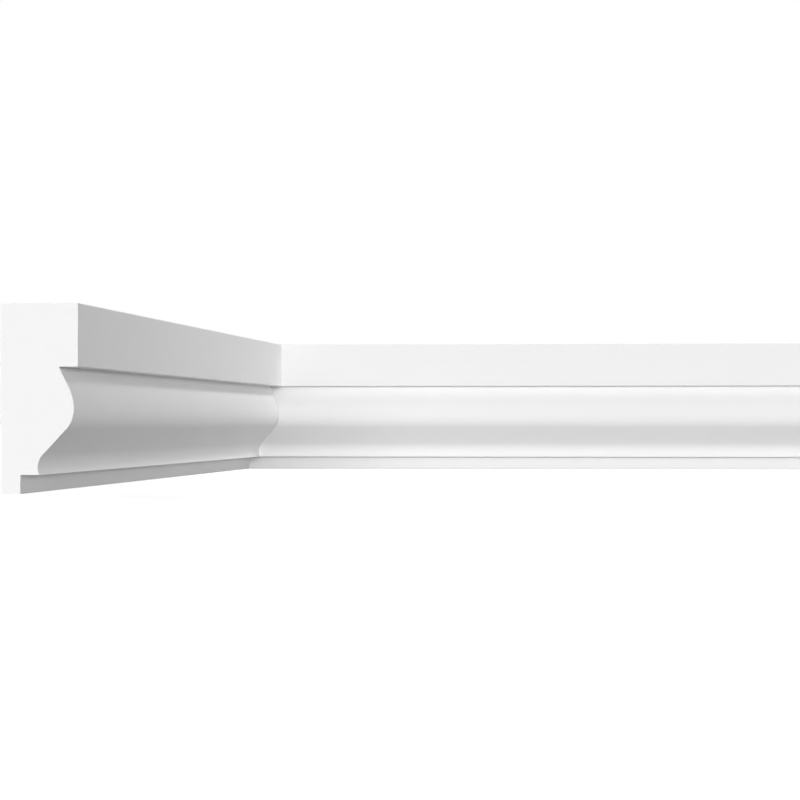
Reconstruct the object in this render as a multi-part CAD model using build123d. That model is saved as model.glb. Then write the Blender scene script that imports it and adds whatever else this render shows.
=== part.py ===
from build123d import *

import os
from math import atan2, cos, radians, sin

# A wall moulding turned round an inside corner: two straight lengths of one section, mitred together.
# The origin is the corner of the two walls at the moulding's lower edge. The long length follows the
# wall along +X and the short length the wall along -Y, so the moulded face looks into the room.
# Depths are measured out from the wall, heights up from the lower edge, all in millimetres.

# Flat band along the upper edge
moulding_height = 60.0
band_height = 20.0
band_depth = 24.6

# Ogee below the band, from the quirk under the band down to the lip over the fillet
quirk_depth = 6.1
lead_length = 7.0
crest_setback = 1.3
crest_drop = 13.4
slope_length = 10.5
nose_share = 0.59
ogee_reach = 11.5
hollow_rise = 2.1
lip_flare = 0.7

# Fillet along the lower edge
fillet_height = 6.0
fillet_depth = 6.3

# Softened square edges, as they leave the mould
arris_radius = 0.3

# Lengths along the two walls, from the corner to the square-cut ends
long_wall_length = 2000.0
short_wall_length = 500.0
corner_angle = 90.0

# The upright plane that halves the corner
half_corner = radians(corner_angle) / 2
mitre_plane = Plane(origin=(0, 0, 0), z_dir=(sin(half_corner), cos(half_corner), 0))


def straight_then_bend(across, along, straight):
    """Turn and radius of a straight stretch that runs into an arc ending parallel to the wall.

    The two together cover the distances across and along the wall, with no kink where they join.
    """
    turn = 2 * atan2(across, along + straight)
    radius = (across**2 + along**2 - straight**2) / (2 * across)
    return turn, radius


def moulding_section():
    """The moulding's cross-section: depth from the wall along x, height along y."""
    band_foot = moulding_height - band_height
    quirk = Vector(band_depth - quirk_depth, band_foot)
    crest = Vector(band_depth - crest_setback, band_foot - crest_drop)
    hollow = Vector(crest.X - ogee_reach, fillet_height + hollow_rise)
    lip = Vector(hollow.X + lip_flare, fillet_height)
    down = Vector(0, -1)

    # The face leaves the quirk straight and swells out to the crest.
    swell_turn, _ = straight_then_bend(crest.X - quirk.X, crest_drop, lead_length)
    lead_end = quirk + Vector(sin(swell_turn), -cos(swell_turn)) * lead_length

    # From the crest it rounds the nose, runs straight down the slope and turns into the hollow.
    slope_turn, bend_radii = straight_then_bend(ogee_reach, crest.Y - hollow.Y, slope_length)
    nose_radius = nose_share * bend_radii
    nose_end = crest + Vector(cos(slope_turn) - 1, -sin(slope_turn)) * nose_radius
    slope_end = nose_end + Vector(-sin(slope_turn), -cos(slope_turn)) * slope_length

    with BuildSketch() as sketch:
        with BuildLine():
            Polyline(
                (fillet_depth, fillet_height),
                (fillet_depth, 0),
                (0, 0),
                (0, moulding_height),
                (band_depth, moulding_height),
                (band_depth, band_foot),
                quirk,
                lead_end,
            )
            TangentArc(lead_end, crest, tangent=lead_end - quirk)
            TangentArc(crest, nose_end, tangent=down)
            Line(nose_end, slope_end)
            TangentArc(slope_end, hollow, tangent=slope_end - nose_end)
            TangentArc(hollow, lip, tangent=down)
            Line(lip, (fillet_depth, fillet_height))
        make_face()
        # The square outward edges are softened, and the lip over the fillet stays sharp.
        square_edges = (
            Vector(fillet_depth, 0),
            Vector(band_depth, moulding_height),
            Vector(band_depth, band_foot),
        )
        for edge in square_edges:
            fillet(sketch.vertices().sort_by_distance(edge)[0], arris_radius)
    return sketch.sketch


def mitred_length(section, wall_length):
    """A straight length along +X from the corner, cut there on the plane that halves the corner."""
    across_the_wall = Plane(origin=(0, 0, 0), x_dir=(0, -1, 0), z_dir=(-1, 0, 0))
    bar = extrude(across_the_wall * section, amount=-wall_length)
    return split(bar, bisect_by=mitre_plane, keep=Keep.TOP)


section = moulding_section()
long_length = mitred_length(section, long_wall_length)
short_length = mirror(mitred_length(section, short_wall_length), about=mitre_plane)

os.makedirs("parts", exist_ok=True)
export_step(long_length, "parts/long_length.step")
export_step(short_length, "parts/short_length.step")
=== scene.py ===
# %% [markdown]
# # An ogee wall moulding round an inside corner
# The real thing is two straight lengths of one white moulding, mitred and glued together where two walls
# meet. It is made here as a joiner would make it: the section is set out first, both lengths are run to
# it and cut, then they get their primer, and last comes the plain studio that shows them. The packed
# solids come before all that. They say where everything is, so nothing below is placed by eye.

# %% Load the solids
from math import atan2, pi, radians, tan

import bpy
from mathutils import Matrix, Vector


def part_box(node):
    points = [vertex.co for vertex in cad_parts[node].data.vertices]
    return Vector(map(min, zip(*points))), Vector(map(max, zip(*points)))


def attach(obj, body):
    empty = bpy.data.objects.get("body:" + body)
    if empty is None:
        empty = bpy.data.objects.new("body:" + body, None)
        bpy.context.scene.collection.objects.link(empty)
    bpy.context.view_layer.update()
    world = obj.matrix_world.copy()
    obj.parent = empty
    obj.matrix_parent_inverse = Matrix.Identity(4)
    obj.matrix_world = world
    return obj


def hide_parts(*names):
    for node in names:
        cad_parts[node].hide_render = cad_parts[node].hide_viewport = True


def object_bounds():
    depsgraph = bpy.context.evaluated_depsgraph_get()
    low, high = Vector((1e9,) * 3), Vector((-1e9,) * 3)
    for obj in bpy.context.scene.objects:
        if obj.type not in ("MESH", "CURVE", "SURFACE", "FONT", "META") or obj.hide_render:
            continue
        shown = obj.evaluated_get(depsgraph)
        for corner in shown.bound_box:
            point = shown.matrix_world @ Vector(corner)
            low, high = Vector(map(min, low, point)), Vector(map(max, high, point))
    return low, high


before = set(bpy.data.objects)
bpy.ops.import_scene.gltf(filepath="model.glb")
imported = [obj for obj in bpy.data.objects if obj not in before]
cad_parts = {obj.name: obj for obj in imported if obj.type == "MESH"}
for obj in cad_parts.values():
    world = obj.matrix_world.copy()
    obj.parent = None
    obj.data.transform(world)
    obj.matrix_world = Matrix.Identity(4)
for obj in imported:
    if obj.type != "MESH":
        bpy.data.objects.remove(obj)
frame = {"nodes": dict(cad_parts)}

cad_box = [list(corner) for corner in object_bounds()]
print("solids:", ", ".join(frame["nodes"]), "in the box", cad_box)

# %% [markdown]
# ## Sizes of the section
# A moulding is its section: a flat band along the top, an S-shaped ogee below it and a small square
# fillet along the bottom. These are the sizes that a maker's drawing would give. Depths are measured out
# from the wall and heights up from the lower edge, in millimetres. The overall height and depth are read
# from the solids, so that the section can't drift away from them.

# %% Sizes of the section
MM = 0.001
long_low, long_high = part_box("long_length")
short_low, short_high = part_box("short_length")
moulding_height = (long_high.z - long_low.z) / MM
band_depth = (long_high.y - long_low.y) / MM

band_height = 20.0
quirk_depth = 6.1
lead_length = 7.0
crest_setback = 1.3
crest_drop = 13.4
slope_length = 10.5
nose_share = 0.59
ogee_reach = 11.5
hollow_rise = 2.1
lip_flare = 0.7
fillet_height = 6.0
fillet_depth = 6.3
arris_radius = 0.3
print(f"section: {moulding_height:.1f} mm high and {band_depth:.1f} mm deep")

# %% [markdown]
# ## Setting out the curves
# The ogee could be traced as a row of points, but then its curves would be only as good as the tracing. A
# drawing gives straight lines and radii instead, and so does this cell: a dozen corners, each with the
# radius that rounds it. The straight stretches run into the bends with no kink, and every bend ends
# upright. That leaves just one turn and one radius that fit, and the first function works them out.


# %% Corners of the section
def straight_then_bend(across, along, straight):
    """Turn and radius of a straight stretch that runs into an arc which ends upright."""
    turn = 2 * atan2(across, along + straight)
    radius = (across**2 + along**2 - straight**2) / (2 * across)
    return turn, radius


def section_corners():
    """The section's corners before they are rounded, as depth, height and rounding radius."""
    band_foot = moulding_height - band_height
    quirk = band_depth - quirk_depth
    crest = band_depth - crest_setback
    crest_height = band_foot - crest_drop
    hollow = crest - ogee_reach
    hollow_height = fillet_height + hollow_rise
    swell_turn, swell_radius = straight_then_bend(crest - quirk, crest_drop, lead_length)
    slope_turn, bend_radii = straight_then_bend(ogee_reach, crest_height - hollow_height, slope_length)
    lip_turn, lip_radius = straight_then_bend(lip_flare, hollow_rise, 0)
    nose_radius = nose_share * bend_radii
    hollow_radius = bend_radii - nose_radius
    return [
        (0, 0, 0),
        (0, moulding_height, 0),
        (band_depth, moulding_height, arris_radius),
        (band_depth, band_foot, arris_radius),
        (quirk, band_foot, 0),
        (crest, crest_height + swell_radius * tan(swell_turn / 2), swell_radius),
        (crest, crest_height - nose_radius * tan(slope_turn / 2), nose_radius),
        (hollow, hollow_height + hollow_radius * tan(slope_turn / 2), hollow_radius),
        (hollow, hollow_height - lip_radius * tan(lip_turn / 2), lip_radius),
        (hollow + lip_flare, fillet_height, 0),
        (fillet_depth, fillet_height, 0),
        (fillet_depth, 0, arris_radius),
    ]


for depth, height, radius in section_corners():
    print(f"corner {depth:5.2f} deep and {height:5.2f} high, radius {radius:5.2f} mm")

# %% [markdown]
# ## Sums on sockets
# Node trees are long to write because every sum is a node. This small class wraps one socket, so that a
# sum in Python adds the Math nodes for it, and its method `node` adds a node of any other kind: its
# settings first, then a value or a wire for each socket. It serves the shaders and the shape alike.


# %% A socket that can be calculated with
class Wire:
    """A node's socket. Operators add Math nodes, and node() adds any other node."""

    def __init__(self, tree, socket=None):
        self.tree = tree
        self.socket = socket

    def node(self, kind, settings=None, sockets=None, out=0):
        made = self.tree.nodes.new(kind)
        for name, value in (settings or {}).items():
            setattr(made, name, value)
        for name, value in (sockets or {}).items():
            if isinstance(value, Wire):
                self.tree.links.new(value.socket, made.inputs[name])
            else:
                made.inputs[name].default_value = value
        return Wire(self.tree, made.outputs[out]) if made.outputs else None

    def maths(self, operation, *values):
        return self.node("ShaderNodeMath", {"operation": operation}, dict(enumerate(values)))

    def __add__(self, other):
        return self.maths("ADD", self, other)

    def __radd__(self, other):
        return self.maths("ADD", other, self)

    def __sub__(self, other):
        return self.maths("SUBTRACT", self, other)

    def __rsub__(self, other):
        return self.maths("SUBTRACT", other, self)

    def __mul__(self, other):
        return self.maths("MULTIPLY", self, other)

    def __rmul__(self, other):
        return self.maths("MULTIPLY", other, self)

    def __gt__(self, other):
        return self.maths("GREATER_THAN", self, other)

    def __lt__(self, other):
        return self.maths("LESS_THAN", self, other)


print("sums on sockets are ready")

# %% [markdown]
# ## Tools for the finishes
# Both finishes of this moulding are white, and a flat white would look like paper. What tells a real
# surface apart is how it changes a little from place to place, so the finishes are mixed from noise of
# different sizes. The noise doesn't read the place in the room. It reads the attribute `stock`, which the
# shape below stores at every point: distance along the length, depth and height. So the pattern turns the
# corner with the length that it is on.


# %% Tools for the finishes
def new_finish(name):
    """An empty material, and a wire to start its nodes from."""
    material = bpy.data.materials.new(name)
    material.use_nodes = True
    material.node_tree.nodes.clear()
    return material, Wire(material.node_tree)


def close_finish(start, sockets):
    """Ends a material in one Principled shader with these sockets."""
    shader = start.node("ShaderNodeBsdfPrincipled", {}, sockets)
    start.node("ShaderNodeOutputMaterial", {}, {"Surface": shader})


def stock_place(start):
    return start.node("ShaderNodeAttribute", {"attribute_name": "stock"}, out="Vector")


def noise(start, place, size, stretch=1.0, detail=2.0):
    """Noise with grains of this size in millimetres, drawn out along the length by stretch."""
    drawn = start.node("ShaderNodeMapping", {}, {"Vector": place, "Scale": (1 / stretch, 1, 1)})
    sockets = {"Vector": drawn, "Scale": 1 / (size * MM), "Detail": detail}
    return start.node("ShaderNodeTexNoise", {}, sockets, out="Fac")


def mix_colours(start, share, low, high):
    """A colour between low and high: sockets 6 and 7 of the Mix node, with their mix at output 2."""
    return start.node("ShaderNodeMix", {"data_type": "RGBA"}, {0: share, 6: low, 7: high}, out=2)


def bumps(start, height, depth, strength):
    """Surface normals for bumps of this depth in millimetres."""
    sockets = {"Height": height, "Distance": depth * MM, "Strength": strength}
    return start.node("ShaderNodeBump", {}, sockets)


print("noise, colours and bumps are ready")

# %% [markdown]
# ## Primer
# The lengths leave the mould with a sprayed coat of matt white primer. It has faint clouds where it went
# on thicker, long faint lines that the mould left along the length, and a fine stipple that only shows as
# softness. Thicker primer is also a little rougher, so the clouds steer the roughness too.

# %% Primed face
PRIMER_LIGHT = (0.90, 0.90, 0.90, 1)
PRIMER_DARK = (0.87, 0.87, 0.87, 1)
PRIMER_ROUGHNESS = 0.52
CLOUD_ROUGHNESS = 0.16
GLOSS = 0.2
CLOUD_SIZE = 22
MOULD_LINE_WIDTH = 1.6
MOULD_LINE_STRETCH = 300
STIPPLE_SIZE = 0.6
STIPPLE_DEPTH = 0.03


def primed_face():
    material, start = new_finish("Primed face")
    place = stock_place(start)
    clouds = noise(start, place, CLOUD_SIZE)
    mould_lines = noise(start, place, MOULD_LINE_WIDTH, MOULD_LINE_STRETCH)
    stipple = noise(start, place, STIPPLE_SIZE, detail=3)
    lightness = 0.6 * clouds + 0.25 * mould_lines + 0.15 * stipple
    sockets = {
        "Base Color": mix_colours(start, lightness, PRIMER_DARK, PRIMER_LIGHT),
        "Roughness": PRIMER_ROUGHNESS + CLOUD_ROUGHNESS * clouds,
        "Specular IOR Level": GLOSS,
        "Normal": bumps(start, stipple + 0.5 * mould_lines, STIPPLE_DEPTH, strength=0.25),
    }
    close_finish(start, sockets)
    return material


primer = primed_face()
print("finish:", primer.name, "with", len(primer.node_tree.nodes), "nodes")

# %% [markdown]
# ## Sawn ends
# Under the primer is rigid white foam. A saw opens its fine closed cells, so an end that has been cut is
# duller than the primer and pitted with thousands of tiny cups. A Voronoi texture gives just that: the
# distance to the nearest cell's middle is the cup's depth. The same distance also darkens the colour
# towards each cup's bottom, which is painted shade in the cups. The other half of the colour is random
# clouds of tone.

# %% Sawn end
FOAM_LIGHT = (0.90, 0.90, 0.90, 1)
FOAM_DARK = (0.86, 0.86, 0.86, 1)
FOAM_ROUGHNESS = 0.78
FOAM_CLOUD_SIZE = 6
CELL_SIZE = 0.45
CELL_DEPTH = 0.05


def sawn_end():
    material, start = new_finish("Sawn end")
    place = stock_place(start)
    cell_sockets = {"Vector": place, "Scale": 1 / (CELL_SIZE * MM)}
    cells = start.node("ShaderNodeTexVoronoi", {}, cell_sockets, out="Distance")
    clouds = noise(start, place, FOAM_CLOUD_SIZE)
    sockets = {
        # Base colour: half painted shade in the cups, darkest where they are deepest, and half random
        # clouds of tone.
        "Base Color": mix_colours(start, 0.5 * cells + 0.5 * clouds, FOAM_DARK, FOAM_LIGHT),
        "Roughness": FOAM_ROUGHNESS + CLOUD_ROUGHNESS * clouds,
        "Specular IOR Level": GLOSS,
        "Normal": bumps(start, cells, CELL_DEPTH, strength=0.3),
    }
    close_finish(start, sockets)
    return material


foam = sawn_end()
print("finish:", foam.name, "with", len(foam.node_tree.nodes), "nodes")

# %% [markdown]
# ## One tree for both lengths
# Both lengths follow one rule, so one Geometry Nodes tree makes them. Its inputs are what a joiner would
# be told: which section, how long, along which wall and in which finish, and how finely to model it.

# %% Inputs of the tree
LENGTH_INPUTS = {
    "Section": "NodeSocketGeometry",
    "Wall Length": "NodeSocketFloat",
    "Spacing": "NodeSocketFloat",
    "Bend Steps": "NodeSocketInt",
    "Arris Steps": "NodeSocketInt",
    "Largest Arris": "NodeSocketFloat",
    "Crisp Angle": "NodeSocketFloat",
    "Along Side Wall": "NodeSocketBool",
    "Stock Start": "NodeSocketFloat",
    "Face": "NodeSocketMaterial",
    "Ends": "NodeSocketMaterial",
}

length_tree = bpy.data.node_groups.new("Moulding length", "GeometryNodeTree")
for name, kind in LENGTH_INPUTS.items():
    length_tree.interface.new_socket(name=name, in_out="INPUT", socket_type=kind)
length_tree.interface.new_socket(name="Moulding", in_out="OUTPUT", socket_type="NodeSocketGeometry")
given = length_tree.nodes.new("NodeGroupInput")
sizes = {name: Wire(length_tree, given.outputs[name]) for name in LENGTH_INPUTS}
start = Wire(length_tree)
print("tree:", length_tree.name, "with", len(sizes), "inputs")

# %% [markdown]
# The section arrives as a closed curve with sharp corners. Each of its points carries a radius, and
# Fillet Curve rounds the corners by it: in many steps round the ogee's bends, in a few round the tiny
# arrises, and not at all where the radius is nothing. Then the section is swept straight up into a bar
# with closed ends.

# %% Round the section and sweep it
WELD = 0.002 * MM

radius = start.node("GeometryNodeInputRadius")
is_bend = radius > sizes["Largest Arris"]
is_arris = (radius > 0) * (1 - is_bend)
steps = is_bend * sizes["Bend Steps"] + is_arris * sizes["Arris Steps"]
rounding = {"Curve": sizes["Section"], "Radius": radius, "Count": steps}
outline = start.node("GeometryNodeFilletCurve", {"mode": "POLY"}, rounding)

top = start.node("ShaderNodeCombineXYZ", {}, {"Z": sizes["Wall Length"]})
line = start.node("GeometryNodeCurvePrimitiveLine", {}, {"End": top})
stations = {"Curve": line, "Length": sizes["Spacing"]}
rail = start.node("GeometryNodeResampleCurve", {"mode": "LENGTH"}, stations)
sweep = {"Curve": rail, "Profile Curve": outline, "Fill Caps": True}
bar = start.node("GeometryNodeCurveToMesh", {}, sweep)
bar = start.node("GeometryNodeMergeByDistance", {}, {"Geometry": bar, "Distance": WELD})
print("rounded and swept, nodes so far:", len(length_tree.nodes))

# %% [markdown]
# The mitre needs no cutting. In a square inside corner no point of the moulding comes nearer to the
# corner than its own depth, so the bar's lower end slides forward by each point's depth. Then the bar is
# laid along its wall. The side wall mirrors it, so there its faces are flipped to point outwards again.
# Before the bar is laid down, every point keeps its place on the stock for the finishes.

# %% Mitre the bar and lay it along its wall
place = {"Vector": start.node("GeometryNodeInputPosition")}
depth = start.node("ShaderNodeSeparateXYZ", {}, place, out="X")
height = start.node("ShaderNodeSeparateXYZ", {}, place, out="Y")
up_the_bar = start.node("ShaderNodeSeparateXYZ", {}, place, out="Z")
along = start.maths("MAXIMUM", up_the_bar, depth)

along_stock = along + sizes["Stock Start"]
on_stock = start.node("ShaderNodeCombineXYZ", {}, {"X": along_stock, "Y": depth, "Z": height})
keeping = {"data_type": "FLOAT_VECTOR", "domain": "POINT"}
kept = {"Geometry": bar, "Name": "stock", "Value": on_stock}
bar = start.node("GeometryNodeStoreNamedAttribute", keeping, kept)

on_back_wall = start.node("ShaderNodeCombineXYZ", {}, {"X": along, "Y": 0 - depth, "Z": height})
on_side_wall = start.node("ShaderNodeCombineXYZ", {}, {"X": depth, "Y": 0 - along, "Z": height})
walls = {"Switch": sizes["Along Side Wall"], "False": on_back_wall, "True": on_side_wall}
laid = start.node("GeometryNodeSwitch", {"input_type": "VECTOR"}, walls)
bar = start.node("GeometryNodeSetPosition", {}, {"Geometry": bar, "Position": laid})
bar = start.node("GeometryNodeFlipFaces", {}, {"Mesh": bar, "Selection": sizes["Along Side Wall"]})
print("mitred and laid, nodes so far:", len(length_tree.nodes))

# %% [markdown]
# The bends should shade smoothly and the real edges stay crisp, so every face is smooth and the edges
# that turn by more than a bend's step are not. All of the bar is primed. Then the two ends are bared
# again: the square one lies at the full length, and on the mitred one the distance from the corner is the
# same as the depth.

# %% Shade and finish the bar
END_MARGIN = 0.1 * MM

turn = start.node("GeometryNodeInputMeshEdgeAngle")
smooth = {"Geometry": bar, "Shade Smooth": True}
bar = start.node("GeometryNodeSetShadeSmooth", {"domain": "FACE"}, smooth)
crisp = {"Geometry": bar, "Selection": turn > sizes["Crisp Angle"], "Shade Smooth": False}
bar = start.node("GeometryNodeSetShadeSmooth", {"domain": "EDGE"}, crisp)

stored = start.node("GeometryNodeInputNamedAttribute", {"data_type": "FLOAT_VECTOR"}, {"Name": "stock"})
spot = {"Vector": stored}
spot_along = start.node("ShaderNodeSeparateXYZ", {}, spot, out="X") - sizes["Stock Start"]
spot_depth = start.node("ShaderNodeSeparateXYZ", {}, spot, out="Y")
sawn = (spot_along > sizes["Wall Length"] - END_MARGIN) + (spot_along - spot_depth < END_MARGIN)
bar = start.node("GeometryNodeRealizeInstances", {}, {"Geometry": bar})
bar = start.node("GeometryNodeSetMaterial", {}, {"Geometry": bar, "Material": sizes["Face"]})
bared = {"Geometry": bar, "Selection": sawn, "Material": sizes["Ends"]}
bar = start.node("GeometryNodeSetMaterial", {}, bared)
start.node("NodeGroupOutput", {}, {"Moulding": bar})
print("tree is complete:", len(length_tree.nodes), "nodes")

# %% [markdown]
# ## Running the two lengths
# The section goes in as a curve, and each length is evaluated once and kept as a plain mesh in place of
# its solid. The two are cut from different places of the stock, so that their finishes don't repeat at
# the corner.

# %% Run the two lengths
STATION_SPACING = 50 * MM
BEND_STEPS = 24
ARRIS_STEPS = 4
CRISP_ANGLE = radians(6)
SECOND_BAR = 5.0


def section_curve():
    curve = bpy.data.curves.new("Section", "CURVE")
    curve.dimensions = "3D"
    corners = section_corners()
    spline = curve.splines.new("POLY")
    spline.points.add(len(corners) - 1)
    spline.use_cyclic_u = True
    for point, (depth, height, radius) in zip(spline.points, corners):
        point.co = (depth * MM, height * MM, 0, 1)
        point.radius = radius * MM
    return curve


def run_length(node, wall_length, along_side_wall, stock_start):
    """One length of the moulding, as a plain mesh that stands for its solid."""
    section = bpy.data.objects.new("Section", section_curve())
    bpy.context.collection.objects.link(section)
    runner = section.modifiers.new("Run", "NODES")
    runner.node_group = length_tree
    values = {
        "Wall Length": wall_length,
        "Spacing": STATION_SPACING,
        "Bend Steps": BEND_STEPS,
        "Arris Steps": ARRIS_STEPS,
        "Largest Arris": 2 * arris_radius * MM,
        "Crisp Angle": CRISP_ANGLE,
        "Along Side Wall": along_side_wall,
        "Stock Start": stock_start,
        "Face": primer,
        "Ends": foam,
    }
    for socket in length_tree.interface.items_tree:
        if socket.name in values:
            runner[socket.identifier] = values[socket.name]
    run = section.evaluated_get(bpy.context.evaluated_depsgraph_get())
    mesh = bpy.data.meshes.new_from_object(run)
    mesh.name = node
    section.modifiers.remove(runner)
    bpy.data.objects.remove(section)
    piece = bpy.data.objects.new("moulding_" + node, mesh)
    bpy.context.collection.objects.link(piece)
    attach(piece, "root")
    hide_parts(node)
    return piece


long_piece = run_length("long_length", long_high.x - long_low.x, False, 0.0)
short_piece = run_length("short_length", short_high.y - short_low.y, True, SECOND_BAR)
print("run:", long_piece.name, "and", short_piece.name)

# %% [markdown]
# A quick test of the two meshes: the volume inside a closed mesh comes out positive only if its faces
# point outwards, and it should be the volume of the solid that the mesh stands for.


# %% Measure the two lengths
def volume(mesh):
    """Volume inside a closed mesh in cubic metres, negative where its faces point inwards."""
    mesh.calc_loop_triangles()
    corners = [[mesh.vertices[i].co for i in triangle.vertices] for triangle in mesh.loop_triangles]
    return sum(a.dot(b.cross(c)) for a, b, c in corners) / 6


for piece in (long_piece, short_piece):
    litres = 1000 * volume(piece.data)
    print(f"{piece.name}: {len(piece.data.polygons)} faces, {litres:.4f} litres")

# %% [markdown]
# ## The studio
# The moulding stands on a plain pale floor in front of nothing. To the camera, floor and background are
# white. To the moulding itself the floor is a mid grey, so that the faces that look down stay darker than
# those that look up, which is what makes the ogee readable. The Light Path node tells the two apart: it
# knows whether a ray was sent out by the camera.
# The floor's white is part glow and part lamplight. The glow is weaker beside the moulding, so that its
# shadow shows there, and grows to full white a good metre away, where the lamps don't reach.

# %% Floor and background
FLOOR_HALF_WIDTH = 40.0
FLOOR_DROP = 0.02 * MM
FLOOR_BOUNCE = (0.38, 0.38, 0.38, 1)
FLOOR_PAINT = (0.9, 0.9, 0.9, 1)
NEAR_GLOW = 0.66
GLOW_RISE = 0.25
AMBIENT = 0.14
WHITE = (1, 1, 1, 1)


def seen_directly(start):
    """1 for rays from the camera, a reflection or a pane, and 0 for light that falls on the moulding."""
    kinds = ("Is Camera Ray", "Is Glossy Ray", "Is Transmission Ray")
    camera, glossy, through = [start.node("ShaderNodeLightPath", out=kind) for kind in kinds]
    return start.maths("MAXIMUM", camera, start.maths("MAXIMUM", glossy, through))


def floor_glow(start):
    """How white the floor is by itself: less beside the moulding and wholly white about a metre away."""
    place = {"Vector": start.node("ShaderNodeTexCoord", out="Object")}
    past = []
    for axis, low, high in zip("XY", *cad_box):
        along = start.node("ShaderNodeSeparateXYZ", {}, place, out=axis)
        from_middle = start.maths("ABSOLUTE", along - (low + high) / 2)
        past.append(start.maths("MAXIMUM", from_middle - (high - low) / 2, 0))
    away_squared = past[0] * past[0] + past[1] * past[1]
    return start.maths("MINIMUM", NEAR_GLOW + GLOW_RISE * away_squared, 1)


def studio_floor():
    material, start = new_finish("Studio floor")
    bounce = start.node("ShaderNodeBsdfDiffuse", {}, {"Color": FLOOR_BOUNCE})
    glow = start.node("ShaderNodeEmission", {}, {"Color": floor_glow(start), "Strength": 1.0})
    paint = start.node("ShaderNodeBsdfDiffuse", {}, {"Color": FLOOR_PAINT})
    shown = start.node("ShaderNodeAddShader", {}, {0: glow, 1: paint})
    both = start.node("ShaderNodeMixShader", {}, {0: seen_directly(start), 1: bounce, 2: shown})
    start.node("ShaderNodeOutputMaterial", {}, {"Surface": both})
    quarters = ((-1, -1), (1, -1), (1, 1), (-1, 1))
    corners = [(FLOOR_HALF_WIDTH * x, FLOOR_HALF_WIDTH * y, -FLOOR_DROP) for x, y in quarters]
    mesh = bpy.data.meshes.new("Studio floor")
    mesh.from_pydata(corners, [], [(0, 1, 2, 3)])
    mesh.materials.append(material)
    floor = bpy.data.objects.new("studio_floor", mesh)
    bpy.context.collection.objects.link(floor)


def background():
    world = bpy.data.worlds.new("Studio")
    world.use_nodes = True
    world.node_tree.nodes.clear()
    start = Wire(world.node_tree)
    ambient = start.node("ShaderNodeBackground", {}, {"Color": WHITE, "Strength": AMBIENT})
    white = start.node("ShaderNodeBackground", {}, {"Color": WHITE, "Strength": 1.0})
    both = start.node("ShaderNodeMixShader", {}, {0: seen_directly(start), 1: ambient, 2: white})
    start.node("ShaderNodeOutputWorld", {}, {"Surface": both})
    bpy.context.scene.world = world


studio_floor()
background()
print("floor and background are white to the camera")

# %% [markdown]
# ## Light
# White on white only reads by its shades, so the light does the drawing. A low, wide soft box in front
# lights the sawn end and the long length almost evenly, and only grazes the short one, which runs towards
# the camera. A weaker box on the right meets the short length more squarely.
# A small box hangs above the long length and points at the corner. A grid keeps its beam narrow, so the
# corner gets the most of it, and the short length fades from pale there to grey at its sawn end. The box
# at the rear and a little light from all round are for the tops and the wall sides, which show only when
# the moulding is looked at from elsewhere.

# %% Soft boxes
AIM = Vector((0.15, -0.25, 0.03))
CORNER = Vector((0.02, -0.03, 0.04))


def soft_box(name, place, wide, high, watts, aim=AIM, spread=180):
    """A rectangular area lamp at place, in metres, that looks at aim. A grid narrows its spread."""
    lamp = bpy.data.lights.new(name, "AREA")
    lamp.shape = "RECTANGLE"
    lamp.size = wide
    lamp.size_y = high
    lamp.energy = watts
    lamp.spread = radians(spread)
    box = bpy.data.objects.new(name, lamp)
    box.location = place
    box.rotation_mode = "QUATERNION"
    box.rotation_quaternion = (aim - Vector(place)).to_track_quat("-Z", "Y")
    box.visible_camera = False
    bpy.context.collection.objects.link(box)
    print(f"{name} soft box: {wide} by {high} m, {watts} W")


soft_box("front", (0.31, -4.69, 0.36), wide=1.8, high=0.72, watts=143)
soft_box("right", (4.44, -2.73, 0.73), wide=1.67, high=1.33, watts=55)
soft_box("corner", (0.75, 0.02, 1.0), wide=0.3, high=0.3, watts=0.57, aim=CORNER, spread=60)
soft_box("rear", (-1.8, 1.9, 1.9), wide=2.0, high=1.5, watts=45)

# %% [markdown]
# ## Camera
# The camera stands low, level with the lower part of the ogee, and looks past the sawn end into the
# corner. A long lens from well over a metre away keeps the section at that end undistorted.

# %% Camera
CAMERA_PLACE = Vector((206.4, -1366.1, 22.4)) * MM
CAMERA_LEFT = 5.30
CAMERA_UP = 0.465
LENS = 126.2
SENSOR = 36.0

camera = bpy.data.cameras.new("Camera")
camera.lens = LENS
camera.sensor_width = SENSOR
camera.clip_start = 0.01
camera.clip_end = 200.0
viewer = bpy.data.objects.new("Camera", camera)
viewer.location = CAMERA_PLACE
viewer.rotation_euler = (pi / 2 + radians(CAMERA_UP), 0, radians(CAMERA_LEFT))
bpy.context.collection.objects.link(viewer)
bpy.context.scene.camera = viewer
bpy.context.scene.view_settings.view_transform = "Standard"
print(f"camera: {LENS} mm lens, {-CAMERA_PLACE.y:.2f} m in front of the wall")
